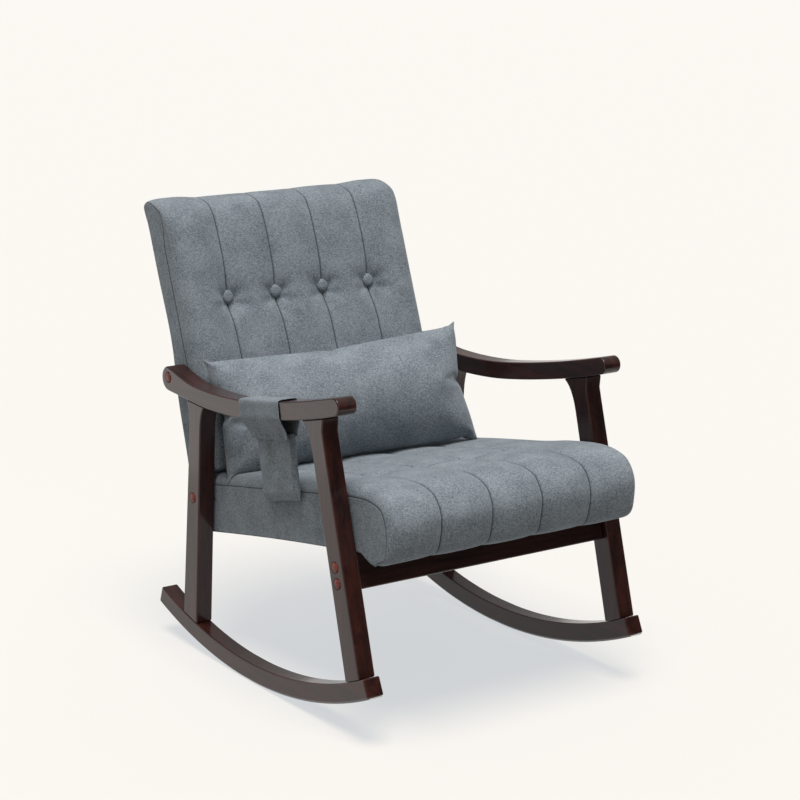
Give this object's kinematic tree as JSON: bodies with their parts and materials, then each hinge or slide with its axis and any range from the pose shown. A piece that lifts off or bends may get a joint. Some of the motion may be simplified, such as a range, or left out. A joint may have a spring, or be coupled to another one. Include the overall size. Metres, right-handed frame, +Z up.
{
  "type": "rocking chair",
  "caption": "Upholstered rocking chair on curved wooden rockers, with channelled seat, buttoned back, open armrests, loose lumbar pillow and a side pocket.",
  "frame": {"origin": "on the floor, in the middle of the chair's outline seen from above", "axes": "+Z up, -Y towards the front of the chair, +X towards the sitter's left hand"},
  "size_m": [0.6177, 0.8684, 0.8491],
  "materials": {
    "espresso_wood": "dark espresso stain under a glossy clear lacquer, fine straight grain",
    "cover_wood": "red-brown stained wooden bolt covers, satin",
    "raw_beech": "unfinished beech, hidden frame and dowels",
    "grey_linen": "slate grey linen-look woven upholstery fabric, matt with a soft fuzz",
    "webbing": "elastic upholstery webbing",
    "black_lining": "black non-woven dust cover",
    "zinc_steel": "zinc plated bolts",
    "strip_rubber": "translucent grey anti-slip strip"
  },
  "bodies": {
    "chair": {"arm_bolt_cover_left": "cover_wood", "arm_bolt_cover_right": "cover_wood", "arm_bolt_left": "zinc_steel", "arm_bolt_right": "zinc_steel", "armrest_left": "espresso_wood", "armrest_right": "espresso_wood", "back_button_left_inner": "grey_linen", "back_button_left_outer": "grey_linen", "back_button_right_inner": "grey_linen", "back_button_right_outer": "grey_linen", "back_cushion": "grey_linen", "back_low_rail": "raw_beech", "back_outer_panel": "grey_linen", "back_stile_left": "raw_beech", "back_stile_right": "raw_beech", "back_top_rail": "raw_beech", "back_webbing_lower": "webbing", "back_webbing_upper": "webbing", "front_arm_dowel_left": "raw_beech", "front_arm_dowel_right": "raw_beech", "front_bolt_cover_lower_left": "cover_wood", "front_bolt_cover_lower_right": "cover_wood", "front_bolt_cover_upper_left": "cover_wood", "front_bolt_cover_upper_right": "cover_wood", "front_bolt_lower_left": "zinc_steel", "front_bolt_lower_right": "zinc_steel", "front_bolt_upper_left": "zinc_steel", "front_bolt_upper_right": "zinc_steel", "front_foot_dowel_left": "raw_beech", "front_foot_dowel_right": "raw_beech", "front_leg_left": "espresso_wood", "front_leg_right": "espresso_wood", "front_stretcher": "espresso_wood", "pocket_band": "grey_linen", "pocket_pouch": "grey_linen", "rear_arm_dowel_left": "raw_beech", "rear_arm_dowel_right": "raw_beech", "rear_bolt_cover_left": "cover_wood", "rear_bolt_cover_right": "cover_wood", "rear_bolt_left": "zinc_steel", "rear_bolt_right": "zinc_steel", "rear_foot_dowel_left": "raw_beech", "rear_foot_dowel_right": "raw_beech", "rear_leg_left": "espresso_wood", "rear_leg_right": "espresso_wood", "rocker_left": "espresso_wood", "rocker_right": "espresso_wood", "rocker_strip_left": "strip_rubber", "rocker_strip_right": "strip_rubber", "seat_cushion": "grey_linen", "seat_dust_cover": "black_lining", "seat_front_rail": "raw_beech", "seat_rear_rail": "raw_beech", "seat_side_rail_left": "raw_beech", "seat_side_rail_right": "raw_beech", "seat_webbing_left": "webbing", "seat_webbing_middle": "webbing", "seat_webbing_right": "webbing"},
    "lumbar_pillow": {"lumbar_pillow": "grey_linen"}
  },
  "joints": [
    {"name": "pillow_lift", "type": "slide", "parent": "chair", "child": "lumbar_pillow", "axis": [0, 0, 1], "range_m": [0, 0.25]}
  ]
}
